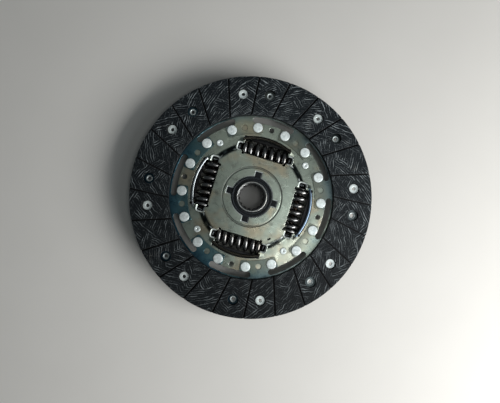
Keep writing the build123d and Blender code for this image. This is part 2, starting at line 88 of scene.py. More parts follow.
# %% [markdown]
# ## Wound springs
# Each window holds two springs, a thin one inside a thick one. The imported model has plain
# helices cut flat. A real coil is wound close in its end turns and ground flat there, so that
# it stands square in its window. A curve with a bevel could carry the wire, but it can't be
# ground. Here the wire is a grid: one direction runs along the helix, the other round the wire.

# %% Sizes of the springs
SPRING_CIRCLE_R = 42.9 * MM
SPRING_LEVEL = 12.5 * MM
OUTER_WIRE = dict(length=42.7 * MM, coil_r=6.85 * MM, wire_r=2.0 * MM, turns=7.5, hand=1)
INNER_WIRE = dict(length=51.0 * MM, coil_r=2.15 * MM, wire_r=0.75 * MM, turns=19.55, hand=-1)
CLOSED_TURNS = 1.0
EASING_TURNS = 0.35


# %% A wound wire
def smooth_step(x):
    """0 below 0, 1 above 1, and 3x^2 - 2x^3 between."""
    x = np.clip(x, 0, 1)
    return x * x * (3 - 2 * x)


def wound_wire(length, coil_r, wire_r, turns, hand, first_top, per_turn=44, sides=18):
    """Points of a closed and ground coil along local Z, as a grid.

    Middle line: coil_r (cos a, sin a) at height s, where a = 90 + 360 hand (u - first_top)
    degrees after u turns, so that the wire is at its top after first_top of them.
    The rise ds/du is one wire's width in the end turns and the full pitch between them.
    Round it: middle + wire_r (cos v outwards + sin v along the axis), cut at +-length / 2.
    """
    u = np.linspace(0, turns, int(turns * per_turn) + 1)
    open_share = smooth_step((np.minimum(u, turns - u) - CLOSED_TURNS) / EASING_TURNS)
    step = u[1] - u[0]
    climb = np.concatenate([[0], np.cumsum((open_share[1:] + open_share[:-1]) / 2) * step])
    rise = length + wire_r - 2 * wire_r * turns
    height = 2 * wire_r * u + rise * climb / climb[-1] - (length + wire_r) / 2
    angle = hand * 2 * np.pi * (u - first_top) + np.pi / 2
    v = np.linspace(0, 2 * np.pi, sides, endpoint=False)
    # The two ends shrink to a point over one wire's radius of travel, which closes the tube.
    tip = np.minimum(u, turns - u) * 2 * np.pi * coil_r / wire_r
    swell = np.sqrt(np.clip(1 - (1 - np.clip(tip, 0, 1)) ** 2, 0, 1))
    across = coil_r + wire_r * swell[:, None] * np.cos(v)
    along = height[:, None] + wire_r * swell[:, None] * np.sin(v)
    along = np.clip(along, -length / 2, length / 2)
    x = across * np.cos(angle)[:, None]
    y = across * np.sin(angle)[:, None]
    return np.stack([x, y, along], axis=-1)


# %% [markdown]
# The windows sit a quarter turn apart. A spring's own axis lies along its window, and its top, the
# side that shows, faces up. In the real disc, when the hub turns against the plates, one end of
# each spring stays on the hub's flange and the other is carried by the plates, so the spring rides
# halfway and is shortened by the arc that the twist covers at its circle. Here each coil is only
# wound at rest and hung on the spring set's body.


# %% Wind all eight springs
def lay_along(points, middle, axis):
    """Turn local Z to the window's axis and local Y to the top, then move to the middle."""
    axis, up = np.array(axis, float), np.array([0, 0, 1.0])
    side = np.cross(up, axis)
    return middle + points[..., 0:1] * side + points[..., 1:2] * up + points[..., 2:3] * axis


springs = {"outer": [], "inner": []}
# Turns from the start of the wire to its first top, for both coils of each window.
FIRST_TOPS = [0.4, 0.7, 0.55, 0.8]
for number, first_top in enumerate(FIRST_TOPS):
    window_angle = number * math.pi / 2
    axis = (0, 1, 0) if number % 2 == 0 else (1, 0, 0)
    middle = (
        SPRING_CIRCLE_R * math.cos(window_angle),
        SPRING_CIRCLE_R * math.sin(window_angle),
        SPRING_LEVEL,
    )
    for kind, sizes in (("outer", OUTER_WIRE), ("inner", INNER_WIRE)):
        grid = lay_along(wound_wire(first_top=first_top, **sizes), middle, axis)
        rows, columns = grid.shape[:2]
        faces = grid_faces(rows, columns, rows_close=False)
        piece = make_piece(f"{kind}_coil_{number + 1}", grid.reshape(-1, 3), faces)
        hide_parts(f"{kind}_spring_{number + 1}")
        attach(piece, "spring_set")
        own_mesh(piece)
        springs[kind].append(piece)
print("springs wound:", sum(len(v) for v in springs.values()), "faces in one:", len(faces))

# %% [markdown]
# ## Rivets and pins
# Rivet heads are upset in a die, so no edge on them is sharp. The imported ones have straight
# edges. Each is drawn again as a profile turned about its own axis. The corners of the profile
# are rounded by short arcs, and the same head is set down at every place round the disc.


# %% Turn a rounded profile
def rounded(corners, steps=5):
    """Profile points from (radius, height, corner radius) rows, in millimetres.

    Each corner is replaced by an arc between the points that lie its radius away along the
    two sides: (1-t)^2 A + 2 t (1-t) corner + t^2 B, with t from 0 to 1.
    """
    corners = np.array(corners, float)
    here = corners[:, :2]
    arms = []
    for shift in (1, -1):
        arm = np.roll(here, shift, axis=0) - here
        reach = np.linalg.norm(arm, axis=1, keepdims=True)
        arms.append(here + arm / reach * np.minimum(corners[:, 2:3], reach / 2))
    t = np.linspace(0, 1, steps)[:, None, None]
    arc = (1 - t) ** 2 * arms[0] + 2 * t * (1 - t) * here + t**2 * arms[1]
    return arc.transpose(1, 0, 2).reshape(-1, 2) * MM


def ring_places(radius, angles):
    """Points on a circle about the disc's axis, in metres, from angles in degrees."""
    a = np.radians(np.array(angles, float))
    return np.stack([np.cos(a), np.sin(a), np.zeros_like(a)], axis=1) * radius * MM


def turned_heads(name, profile, places, hollow, sides=40):
    """The same turned solid at each place: place + (r cos v, r sin v, z) for each (r, z)."""
    v = np.linspace(0, 2 * np.pi, sides, endpoint=False)
    radius, height = profile[:, 0, None], profile[:, 1, None]
    one = np.stack([radius * np.cos(v), radius * np.sin(v), height + 0 * v], axis=-1)
    one_faces = grid_faces(len(profile), sides, rows_close=hollow)
    count = one.shape[0] * sides
    points = (places[:, None, :] + one.reshape(1, -1, 3)).reshape(-1, 3)
    shifts = np.arange(len(places))[:, None, None] * count
    return make_piece(name, points, (one_faces[None] + shifts).reshape(-1, 4))


# %% Levels that the rivets share, in millimetres
SEGMENT_FRONT = 17.7
RIM_FRONT, RIM_BACK = 17.0, 15.0
COUNTER_FRONT, COUNTER_BACK = 10.0, 8.0
FRONT_SEAT, REAR_SEAT = 18.9, 15.0
# Radii of the rings of rivets in millimetres, and places round the disc in degrees.
SEGMENT_RIVET_R, STOP_PIN_R, FACING_RIVET_R = 66.0, 59.4, 97.5
SEGMENT_AT, RIVET_ASIDE, STOP_PIN_AT = 22.5, 10.75, 47.3
FRONT_RIVET_AT, REAR_RIVET_AT = 21.6, 6.6


def evenly(first, count):
    """count angles in degrees, evenly round the disc from the first."""
    return [first + 360 / count * k for k in range(count)]


segment_angles = [
    middle + side * RIVET_ASIDE for middle in evenly(SEGMENT_AT, 8) for side in (-1, 1)
]
print("segment rivets at", segment_angles[:4], "...")

# %% Flat rivets of the cushion segments
segment_rivets = turned_heads(
    "flat_rivets",
    rounded(
        [
            (0, SEGMENT_FRONT + 1.3, 0),
            (3.7, SEGMENT_FRONT + 1.22, 1.5),
            (4.55, SEGMENT_FRONT + 1.05, 0.3),
            (4.55, SEGMENT_FRONT, 0.05),
            (2.75, SEGMENT_FRONT, 0.05),
            (2.75, RIM_BACK, 0.05),
            (4.1, RIM_BACK, 0.1),
            (3.7, RIM_BACK - 1.45, 0.5),
            (0, RIM_BACK - 1.6, 0),
        ]
    ),
    ring_places(SEGMENT_RIVET_R, segment_angles),
    hollow=False,
)
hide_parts("segment_rivets")

# %% Stop pins with a dimple in each head
pin_heads = turned_heads(
    "dimpled_pins",
    rounded(
        [
            (0, RIM_FRONT + 0.45, 0),
            (0.55, RIM_FRONT + 0.5, 0.3),
            (1.0, RIM_FRONT + 0.95, 0.3),
            (2.7, RIM_FRONT + 1.0, 0.4),
            (3.1, RIM_FRONT + 0.7, 0.4),
            (3.1, RIM_FRONT, 0.05),
            (2.5, RIM_FRONT, 0.05),
            (2.5, RIM_BACK, 0.05),
            (3.5, RIM_BACK, 0.2),
            (3.5, COUNTER_FRONT, 0.2),
            (2.5, COUNTER_FRONT, 0.05),
            (2.5, COUNTER_BACK, 0.05),
            (3.1, COUNTER_BACK, 0.05),
            (2.9, COUNTER_BACK - 0.9, 0.5),
            (0, COUNTER_BACK - 1.0, 0),
        ]
    ),
    ring_places(STOP_PIN_R, evenly(STOP_PIN_AT, 4)),
    hollow=False,
)
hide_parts("stop_pins")


# %% [markdown]
# The rivets of the two facings are tubes. Their flat head lies in a counterbore, and their
# other end is rolled outwards over the spring steel. Half of them show a head on the front,
# and half show the roll at the bottom of a clearance hole. One profile gives both, turned over.


# %% Tubular rivets, heads up and heads down
def tube_profile(seat, way):
    """The tubular rivet's closed profile, its head on the side that way points to."""
    outline = [
        (1.6, 0.8, 0.35),
        (4.45, 0.78, 0.3),
        (4.7, 0.35, 0.25),
        (4.7, 0.0, 0.05),
        (2.4, 0.0, 0.05),
        (2.4, -1.9, 0.05),
        (3.15, -1.9, 0.3),
        (3.1, -2.45, 0.45),
        (2.5, -2.8, 0.4),
        (1.75, -2.5, 0.5),
        (1.6, -1.9, 0.3),
    ]
    return rounded([(r, seat + way * z, bend) for r, z, bend in outline])


front_places = ring_places(FACING_RIVET_R, evenly(FRONT_RIVET_AT, 8))
rear_places = ring_places(FACING_RIVET_R, evenly(REAR_RIVET_AT, 8))
front_tubes = turned_heads("front_tube_rivets", tube_profile(FRONT_SEAT, 1), front_places, True)
rear_tubes = turned_heads("rear_tube_rivets", tube_profile(REAR_SEAT, -1), rear_places, True)
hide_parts("front_facing_rivets")
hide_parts("rear_facing_rivets")
rivets = [segment_rivets, pin_heads, front_tubes, rear_tubes]
for piece in rivets:
    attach(piece, "plate_assembly")
print("rivet faces:", {piece.name: len(piece.data.polygons) for piece in rivets})

# %% [markdown]
# ## Tools for finishes
# A finish is a small tree of nodes that ends in one Principled shader. Every pattern reads
# Object coordinates, which are metres in the disc's own frame at rest. So a stain keeps its
# place on its part when the camera or the part moves. Short helpers keep the trees easy to read.


# %% Helpers for node trees
def feed(tree, node, feeds=None, **named):
    """Sockets or plain values for a node's inputs. An underscore in a name is a space."""
    named = {label.replace("_", " "): value for label, value in named.items()}
    for socket, value in {**(feeds or {}), **named}.items():
        if isinstance(value, bpy.types.NodeSocket):
            tree.links.new(value, node.inputs[socket])
        else:
            node.inputs[socket].default_value = value


def add_node(tree, kind, feeds=None, **settings):
    """A node with its settings made, and its inputs fed."""
    node = tree.nodes.new(kind)
    for name, value in settings.items():
        setattr(node, name, value)
    feed(tree, node, feeds)
    return node


def reckon(tree, operation, *values):
    """The result of one arithmetic step on sockets or numbers."""
    return add_node(tree, "ShaderNodeMath", dict(enumerate(values)), operation=operation).outputs[0]


def reckon_vector(tree, operation, *values, **named):
    """The node of one step on vectors, its inputs given in order or by name."""
    feeds = {**dict(enumerate(values)), **named}
    return add_node(tree, "ShaderNodeVectorMath", feeds, operation=operation)


def coordinate(tree, place, number):
    """x, y or z of a place or a direction, as number 0, 1 or 2."""
    return add_node(tree, "ShaderNodeSeparateXYZ", {0: place}).outputs[number]


def stretch(tree, value, low, high, new_low=0.0, new_high=1.0):
    """value, eased from new_low at low to new_high at high, and level outside."""
    feeds = {0: value, 1: low, 2: high, 3: new_low, 4: new_high}
    node = add_node(tree, "ShaderNodeMapRange", feeds, interpolation_type="SMOOTHSTEP")
    return node.outputs[0]


def tint(tree, share, first, second, way="MIX"):
    """first, turned towards second by share."""
    colours = [c if isinstance(c, bpy.types.NodeSocket) else (*c, 1) for c in (first, second)]
    feeds = {0: share, 6: colours[0], 7: colours[1]}
    return add_node(tree, "ShaderNodeMix", feeds, data_type="RGBA", blend_type=way).outputs[2]


def tint_number(tree, share, first, second):
    """first, turned towards second by share, for numbers."""
    feeds = {0: share, 2: first, 3: second}
    return add_node(tree, "ShaderNodeMix", feeds, data_type="FLOAT").outputs[0]


def cloud(tree, place, size_mm, detail=2.0, rough=0.5, warp=0.0):
    """Soft noise from 0 to 1 whose blots are about size_mm across."""
    feeds = {"Vector": place, "Scale": 1 / (size_mm * MM), "Detail": detail}
    feeds.update({"Roughness": rough, "Distortion": warp})
    return add_node(tree, "ShaderNodeTexNoise", feeds).outputs[0]


def start_group(name, takes, gives):
    """An empty shader node group with named sockets, and its two end nodes."""
    group = bpy.data.node_groups.new(name, "ShaderNodeTree")
    for label, kind in takes:
        group.interface.new_socket(label, in_out="INPUT", socket_type=kind)
    for label, kind in gives:
        group.interface.new_socket(label, in_out="OUTPUT", socket_type=kind)
    return group, add_node(group, "NodeGroupInput"), add_node(group, "NodeGroupOutput")


def use_group(tree, group, **feeds):
    """One use of a group, with its inputs fed."""
    node = add_node(tree, "ShaderNodeGroup", node_tree=group)
    feed(tree, node, **feeds)
    return node


def start_finish(name):
    """A material's tree with Object coordinates and a Principled shader."""
    material = bpy.data.materials.new(name)
    material.use_nodes = True
    tree = material.node_tree
    tree.nodes.clear()
    place = add_node(tree, "ShaderNodeTexCoord").outputs["Object"]
    shader = add_node(tree, "ShaderNodeBsdfPrincipled")
    end = add_node(tree, "ShaderNodeOutputMaterial")
    tree.links.new(shader.outputs[0], end.inputs[0])
    return material, tree, place, shader


def distance_from_axis(tree, place):
    """sqrt(x^2 + y^2) of a place, in metres."""
    level = reckon_vector(tree, "MULTIPLY", place, (1, 1, 0))
    return reckon_vector(tree, "LENGTH", level.outputs[0]).outputs["Value"]


def along_direction(tree, place, degrees):
    """x cos a + y sin a: how far a place lies from the axis towards the direction a."""
    a = math.radians(degrees)
    direction = (math.cos(a), math.sin(a), 0.0)
    return reckon_vector(tree, "DOT_PRODUCT", place, direction).outputs["Value"]


def now_fed(shader, label):
    """What feeds a socket of the shader now."""
    return shader.inputs[label].links[0].from_socket


NUMBER, VECTOR = "NodeSocketFloat", "NodeSocketVector"

# %% [markdown]
# ## Effects that several finishes share
# Pressed and turned metal looks real for four small reasons. Edges are never sharp, and they rub
# bright. Oil and dust gather in corners, and corners are also painted darker there as painted
# shade. Handling leaves fine scratches. Each of the four could be repeated in every material, but a
# group is built once and used with other values.
# The Bevel node rounds an edge for light only, and the angle between its normal and the
# surface's own tells how near the edge is.

# %% Group: rubbed edges and painted edge highlights
edge_wear_and_highlight, group_in, group_out = start_group(
    "edge wear and highlight", [("Width", NUMBER)], [("Mask", NUMBER), ("Normal", VECTOR)]
)
bevel = add_node(
    edge_wear_and_highlight, "ShaderNodeBevel", {"Radius": group_in.outputs["Width"]}, samples=4
)
own_normal = add_node(edge_wear_and_highlight, "ShaderNodeNewGeometry").outputs["Normal"]
agreement = reckon_vector(edge_wear_and_highlight, "DOT_PRODUCT", bevel.outputs[0], own_normal)
agreement = agreement.outputs["Value"]
edge_wear_and_highlight.links.new(stretch(edge_wear_and_highlight, agreement, 0.98, 0.86), group_out.inputs["Mask"])
edge_wear_and_highlight.links.new(bevel.outputs[0], group_out.inputs["Normal"])

# %% Group: painted shade and oil in corners
corner_shade_and_oil, group_in, group_out = start_group(
    "corner shade and oil", [("Place", VECTOR), ("Reach", NUMBER)], [("Mask", NUMBER)]
)
nearness = add_node(
    corner_shade_and_oil, "ShaderNodeAmbientOcclusion", {"Distance": group_in.outputs["Reach"]}, samples=4
).outputs["AO"]
patchy = cloud(corner_shade_and_oil, group_in.outputs["Place"], 2.5, detail=3)
closed_in = reckon(corner_shade_and_oil, "SUBTRACT", 1.0, nearness)
shade_and_oil = reckon(corner_shade_and_oil, "MULTIPLY", closed_in, reckon(corner_shade_and_oil, "ADD", patchy, 0.6))
corner_shade_and_oil.links.new(stretch(corner_shade_and_oil, shade_and_oil, 0.12, 0.75), group_out.inputs["Mask"])

# %% Group: fine scratches
fine_scratches, group_in, group_out = start_group(
    "fine scratches", [("Place", VECTOR)], [("Mask", NUMBER)]
)
scratch_sets = []
for turn, long_mm, wide_mm in ((0.4, 26.0, 0.55), (1.9, 18.0, 0.45), (2.7, 34.0, 0.6)):
    laid = add_node(
        fine_scratches, "ShaderNodeMapping",
        {0: group_in.outputs["Place"], 2: (0, 0, turn), 3: (1 / long_mm, 1 / wide_mm, 0.02)},
    ).outputs[0]
    lines = add_node(
        fine_scratches, "ShaderNodeTexNoise", {"Vector": laid, "Scale": 1 / MM, "Detail": 1.0}
    ).outputs[0]
    scratch_sets.append(stretch(fine_scratches, lines, 0.70, 0.78))
any_scratch = reckon(fine_scratches, "MAXIMUM", scratch_sets[0], scratch_sets[1])
any_scratch = reckon(fine_scratches, "MAXIMUM", any_scratch, scratch_sets[2])
fine_scratches.links.new(any_scratch, group_out.inputs["Mask"])

# %% Group: a raised grain as a normal
raised_grain, group_in, group_out = start_group(
    "raised grain",
    [("Height", NUMBER), ("Depth", NUMBER), ("Normal", VECTOR)],
    [("Normal", VECTOR)],
)
bump = add_node(
    raised_grain, "ShaderNodeBump",
    {
        "Height": group_in.outputs["Height"],
        "Distance": group_in.outputs["Depth"],
        "Normal": group_in.outputs["Normal"],
    },
)
raised_grain.links.new(bump.outputs[0], group_out.inputs["Normal"])
print("shared effects:", [group.name for group in bpy.data.node_groups])

# %% [markdown]
# ## The friction lining
# The facings are wound from yarn that swings in and out between the ring's two edges while it
# goes round, and are then pressed and ground. Grinding cuts the yarn, so its pale ends show as
# short curved strokes on a near-black face. Where two windings cross, one lies on top in some
# patches and the other in the next. An image of such cloth would be the quick way. Here each
# winding is a set of lines, 170 to the turn, that are broken up along their length. The angle
# round the disc is shifted by an amount that grows with the distance from the ring's middle,
# one way for the first winding and the other way for the second.

# %% Group: strokes of one winding
LINING_MID_R, LINING_HALF_W = 95.75, 18.25
LINING_MID_LEVEL, LINING_FACE_OFF = 16.95 * MM, 4.25 * MM
winding, group_in, group_out = start_group(
    "one winding", [("Place", VECTOR), ("Swing", NUMBER), ("Shift", NUMBER)], [("Mask", NUMBER)]
)
wavy = add_node(
    winding, "ShaderNodeTexNoise",
    {"Vector": group_in.outputs["Place"], "Scale": 1 / (14 * MM), "Detail": 1.0},
).outputs[1]
wavy = reckon_vector(winding, "SUBTRACT", wavy, (0.5, 0.5, 0.5))
wavy = reckon_vector(winding, "SCALE", wavy.outputs[0], Scale=1.6 * MM)
bent = reckon_vector(winding, "ADD", group_in.outputs["Place"], wavy.outputs[0]).outputs[0]
x, y = coordinate(winding, bent, 0), coordinate(winding, bent, 1)
squares = [reckon(winding, "MULTIPLY", part, part) for part in (x, y)]
radius = reckon(winding, "SQRT", reckon(winding, "ADD", *squares))
radius = reckon(winding, "MULTIPLY", radius, 1 / MM)
share = reckon(winding, "SUBTRACT", radius, LINING_MID_R)
share = reckon(winding, "DIVIDE", share, LINING_HALF_W)
# The yarn turns back at the inner edge, so it lies flatter there.
inward = reckon(winding, "MAXIMUM", reckon(winding, "MULTIPLY", share, -1.0), 0.0)
swung = reckon(winding, "MULTIPLY_ADD", reckon(winding, "POWER", inward, 4.0), -0.34, share)
lag = reckon(winding, "MULTIPLY", swung, group_in.outputs["Swing"])
angle = reckon(winding, "ADD", reckon(winding, "ARCTAN2", y, x), lag)
YARN_COUNT, YARN_LENGTH = 170, 8.0
YARNS_PER_RADIAN = YARN_COUNT / (2 * math.pi)
# Which yarn this is, and how far from its middle: 0 there and 0.5 between two yarns.
yarn_number = reckon(winding, "MULTIPLY", angle, YARNS_PER_RADIAN)
sway = cloud(winding, group_in.outputs["Place"], 5.0, detail=1.0)
yarn_number = reckon(winding, "MULTIPLY_ADD", sway, 1.4, yarn_number)
off_yarn = reckon(winding, "SUBTRACT", reckon(winding, "FRACT", yarn_number), 0.5)
off_yarn = reckon(winding, "ABSOLUTE", off_yarn)
thread = stretch(winding, off_yarn, 0.20, 0.05)
round_disc = [
    reckon(winding, "MULTIPLY", reckon(winding, turn, angle), YARNS_PER_RADIAN)
    for turn in ("COSINE", "SINE")
]
outwards = reckon(winding, "DIVIDE", radius, YARN_LENGTH)
outwards = reckon(winding, "ADD", outwards, group_in.outputs["Shift"])
along_yarn = add_node(
    winding, "ShaderNodeCombineXYZ", {0: round_disc[0], 1: round_disc[1], 2: outwards}
).outputs[0]
laid_bare = add_node(
    winding, "ShaderNodeTexNoise", {"Vector": along_yarn, "Scale": 1.0, "Detail": 1.0}
).outputs[0]
laid_bare = stretch(winding, laid_bare, 0.42, 0.62, 0.05, 1.0)
winding.links.new(reckon(winding, "MULTIPLY", thread, laid_bare), group_out.inputs["Mask"])

# %% Finish: friction lining
lining, tree, place, shader = start_finish("friction_lining")
one_way = use_group(tree, winding, Place=place, Swing=0.27, Shift=3.0).outputs[0]
other_way = use_group(tree, winding, Place=place, Swing=-0.27, Shift=11.0).outputs[0]
on_top = stretch(tree, cloud(tree, place, 17.0, detail=0.0), 0.53, 0.59)
yarn = tint_number(tree, on_top, one_way, other_way)
crumbs = stretch(tree, cloud(tree, place, 0.9, detail=2.0), 0.62, 0.74)
strength = stretch(tree, cloud(tree, place, 7.0, detail=2.0), 0.36, 0.66, 0.22, 1.0)
pale = reckon(tree, "MULTIPLY", yarn, strength)
pale = reckon(tree, "MAXIMUM", pale, reckon(tree, "MULTIPLY", crumbs, 0.5))
# Only the two ground faces show cut yarn. The level between them is 16.95 mm up.
off_middle = reckon(tree, "SUBTRACT", coordinate(tree, place, 2), LINING_MID_LEVEL)
ground = stretch(
    tree, reckon(tree, "ABSOLUTE", off_middle),
    LINING_FACE_OFF - 0.35 * MM, LINING_FACE_OFF - 0.02 * MM, 0.12, 1.0,
)
pale = reckon(tree, "MULTIPLY", pale, ground)
resin = cloud(tree, place, 3.0, detail=3.0)
resin = tint(tree, resin, (0.002, 0.004, 0.006), (0.009, 0.012, 0.015))
warmth = stretch(tree, cloud(tree, place, 22.0, detail=1.0), 0.64, 0.84)
yarn_colour = tint(tree, warmth, (0.235, 0.268, 0.285), (0.260, 0.232, 0.200))
shade_and_oil = use_group(tree, corner_shade_and_oil, Place=place, Reach=1.2 * MM).outputs[0]
# The sides and groove walls that are not ground are painted nearly black, as painted shade.
resin = tint(tree, ground, (0.002, 0.002, 0.003), resin)
colour = tint(tree, pale, resin, yarn_colour)
# Corners are painted darker, as painted shade.
colour = tint(tree, shade_and_oil, colour, (0.004, 0.005, 0.006))
height = reckon(tree, "MULTIPLY_ADD", yarn, 0.6, cloud(tree, place, 0.6, detail=3.0))
edge = use_group(tree, edge_wear_and_highlight, Width=0.4 * MM)
# The cut edges are painted paler, partly for wear and partly as a painted highlight.
worn_and_highlit = reckon(tree, "MULTIPLY", edge.outputs[0], 0.5)
colour = tint(tree, worn_and_highlit, colour, (0.120, 0.130, 0.135))
# The rings are painted paler on one side and darker on the other, as painted light falling across
# the disc.
painted_side_light = stretch(tree, along_direction(tree, place, 68), -90 * MM, 90 * MM, 0.66, 1.24)
colour = tint(tree, 1.0, colour, painted_side_light, way="MULTIPLY")
normal = use_group(tree, raised_grain, Height=height, Depth=0.12 * MM, Normal=edge.outputs[1])
feed(
    tree, shader, Base_Color=colour, Roughness=stretch(tree, pale, 0, 1, 0.50, 0.68),
    Normal=normal.outputs[0], Specular_IOR_Level=0.16,
)

# %% [markdown]
# ## Pressed steel
# The two damper plates are pressed from oiled strip. Their face is an olive grey with warm
# stains and darker smudges, and it is smooth enough to show soft reflections. Metal has almost
# no colour of its own beyond its reflections, so Metallic is 1, and the stains tint them.


# %% Finish: pressed steel
def steel_finish(name, clean, stain, smudge, gloss, wear, grain_depth):
    """Oily steel: three clouds of colour, scratches, rubbed edges, and painted shade with oil in
    corners.
    """
    material, tree, place, shader = start_finish(name)
    colour = tint(tree, stretch(tree, cloud(tree, place, 24.0, 3.0), 0.48, 0.68), clean, stain)
    blots = stretch(tree, cloud(tree, place, 7.0, 4.0, 0.6), 0.52, 0.72, 0.0, 0.75)
    colour = tint(tree, blots, colour, smudge)
    marks = use_group(tree, fine_scratches, Place=place).outputs[0]
    colour = tint(tree, reckon(tree, "MULTIPLY", marks, 0.35), colour, wear)
    edge = use_group(tree, edge_wear_and_highlight, Width=0.5 * MM)
    colour = tint(tree, reckon(tree, "MULTIPLY", edge.outputs[0], 0.6), colour, wear)
    # Corners are painted dark, as painted shade with some oil, and are rougher there.
    shade_and_oil = use_group(tree, corner_shade_and_oil, Place=place, Reach=1.4 * MM).outputs[0]
    colour = tint(tree, shade_and_oil, colour, (0.030, 0.032, 0.030))
    matt = reckon(tree, "MULTIPLY_ADD", cloud(tree, place, 5.0, 4.0), 0.22, gloss - 0.11)
    matt = reckon(tree, "MULTIPLY_ADD", marks, -0.08, matt)
    matt = reckon(tree, "MULTIPLY_ADD", shade_and_oil, 0.25, matt)
    waves, grains = cloud(tree, place, 9.0, 1.0), cloud(tree, place, 0.35, 2.0)
    height = reckon(tree, "MULTIPLY_ADD", waves, 6.0, grains)
    normal = use_group(
        tree, raised_grain, Height=height, Depth=grain_depth * MM, Normal=edge.outputs[1]
    ).outputs[0]
    feed(tree, shader, Base_Color=colour, Metallic=1.0, Roughness=matt, Normal=normal)
    return material, tree, place, shader


OILED_STRIP = dict(
    clean=(0.345, 0.401, 0.350), stain=(0.395, 0.365, 0.275), smudge=(0.20, 0.22, 0.195),
    gloss=0.30, wear=(0.66, 0.70, 0.66), grain_depth=0.010,
)
pressed_steel = steel_finish("pressed_steel", **OILED_STRIP)[0]

# %% [markdown]
# A rounded groove is stamped round the centring ring; it is painted darker, with a painted dark
# line along its outer edge, as painted shade. The drawn wall is painted dark in patches, as painted
# shade. The strips beside the windows are drawn smooth and carry painted reflections, one side of
# the rim is painted paler as a painted reflection, and the bevels of the keyed hole and of the
# spring nests are painted pale as a painted highlight. Each place is found from where it lies on
# the disc and how it slopes, so no mask has to be painted by hand.

# %% Finish: drive plate
drive_steel, tree, place, shader = steel_finish("drive_plate_steel", **OILED_STRIP)
STAMPED_R, WALL_R = 27.8, 48.6
STRIP_R, STRIP_ARC_R = 55.9, 1.82
# Each pair is where a mask is still 0 and where it has reached 1, in metres.
UNDER_FACE, ON_STRIP = (21.68 * MM, 21.45 * MM), (19.2 * MM, 19.9 * MM)
BESIDE_WINDOW = (44 * MM, 47 * MM)
NEST_LARGER_XY, NEST_SMALLER_XY = (37.0 * MM, 38.0 * MM), (22.0 * MM, 23.0 * MM)
AT_KEY_EDGE, NEAR_TOP = (25.6 * MM, 25.2 * MM), (20.3 * MM, 20.8 * MM)


def near_radius(tree, place, radius, half_width):
    """1 on a circle round the axis, easing to 0 at half_width from it, in millimetres."""
    off = reckon(tree, "SUBTRACT", distance_from_axis(tree, place), radius * MM)
    off = reckon(tree, "ABSOLUTE", off)
    return stretch(tree, off, half_width * MM, 0.5 * half_width * MM)


plain = now_fed(shader, "Base Color")
# The groove is painted darker, and a thin line along its outer edge darker still, as painted shade
# in the stamped recess.
groove = near_radius(tree, place, STAMPED_R, 1.3)
ringed = tint(tree, reckon(tree, "MULTIPLY", groove, 0.45), plain, (0.10, 0.11, 0.10))
groove_shadow_line = near_radius(tree, place, STAMPED_R + 0.8, 0.35)
ringed = tint(tree, groove_shadow_line, ringed, (0.060, 0.065, 0.060))
# The drawn wall is painted dark in patches, as painted shade.
level = coordinate(tree, place, 2)
below_face = stretch(tree, level, *UNDER_FACE)
on_wall = reckon(tree, "MULTIPLY", near_radius(tree, place, WALL_R, 3.4), below_face)
patches = stretch(tree, cloud(tree, place, 6.0, 2.0), 0.3, 0.6, 0.84, 1.0)
wall_shade = reckon(tree, "MULTIPLY", on_wall, patches)
ringed = tint(tree, wall_shade, ringed, (0.020, 0.028, 0.034))
# One side of the rim is painted paler, as a painted reflection of the lamps above.
painted_reflection = stretch(tree, along_direction(tree, place, 322), 50 * MM, 60 * MM)
ringed = tint(tree, painted_reflection, ringed, (1.75, 1.60, 1.55), way="MULTIPLY")
# The crowned strips beside the windows are drawn smooth, and carry painted reflections.
raised = stretch(tree, level, *ON_STRIP)
strip = reckon(tree, "MULTIPLY", near_radius(tree, place, STRIP_R, 2.2), raised)
# The strip towards -x is painted pale and the one towards +x blue, as painted reflections; the
# other two are painted a dark brown.
east = coordinate(tree, place, 0)
at_minus_x = stretch(tree, east, *[-x for x in BESIDE_WINDOW])
at_plus_x = stretch(tree, east, *BESIDE_WINDOW)
strip_reflection_colour = tint(tree, at_minus_x, (0.075, 0.068, 0.056), (0.30, 0.33, 0.35))
strip_reflection_colour = tint(tree, at_plus_x, strip_reflection_colour, (0.150, 0.205, 0.280))
with_painted_highlights = tint(tree, strip, ringed, strip_reflection_colour)
# The sloping edges of the keyed hole and of the spring nests are painted pale, as a painted
# highlight.
facing = add_node(tree, "ShaderNodeNewGeometry").outputs["True Normal"]
lean = coordinate(tree, facing, 2)
not_level, not_wall = stretch(tree, lean, 0.97, 0.90), stretch(tree, lean, 0.35, 0.50)
sloping = reckon(tree, "MULTIPLY", not_level, not_wall)
sides = [reckon(tree, "ABSOLUTE", coordinate(tree, place, k)) for k in (0, 1)]
in_nest = reckon(
    tree, "MULTIPLY",
    stretch(tree, reckon(tree, "MAXIMUM", *sides), *NEST_LARGER_XY),
    stretch(tree, reckon(tree, "MINIMUM", *sides), *NEST_SMALLER_XY),
)
by_key = stretch(tree, distance_from_axis(tree, place), *AT_KEY_EDGE)
bevel_highlight = reckon(tree, "MULTIPLY", sloping, reckon(tree, "MAXIMUM", in_nest, by_key))
bevel_highlight = reckon(tree, "MULTIPLY", bevel_highlight, stretch(tree, level, *NEAR_TOP))
with_painted_highlights = tint(tree, bevel_highlight, with_painted_highlights, (0.50, 0.55, 0.55))
feed(tree, shader, Base_Color=with_painted_highlights)
matt = now_fed(shader, "Roughness")
strip_change = stretch(tree, east, *BESIDE_WINDOW, -0.12, 0.06)
matt = reckon(tree, "MULTIPLY_ADD", strip, strip_change, matt)
matt = reckon(tree, "MULTIPLY_ADD", groove, 0.18, matt)
matt = tint_number(tree, bevel_highlight, matt, 0.58)
feed(tree, shader, Roughness=matt)
# The painted highlight is pale from every side, so Metallic is lowered there and the pale colour
# scatters light as well as mirroring it.
feed(tree, shader, Metallic=stretch(tree, bevel_highlight, 0, 1, 1.0, 0.45))

# %% [markdown]
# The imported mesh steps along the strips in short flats, and a smooth mirror shows each of them.
# The strip's true section is an arc 1.82 mm in radius round a circle 55.9 mm from the axis. So
# its normal leans away from the vertical by the sine (r - 55.9) / 1.82, towards the outside.

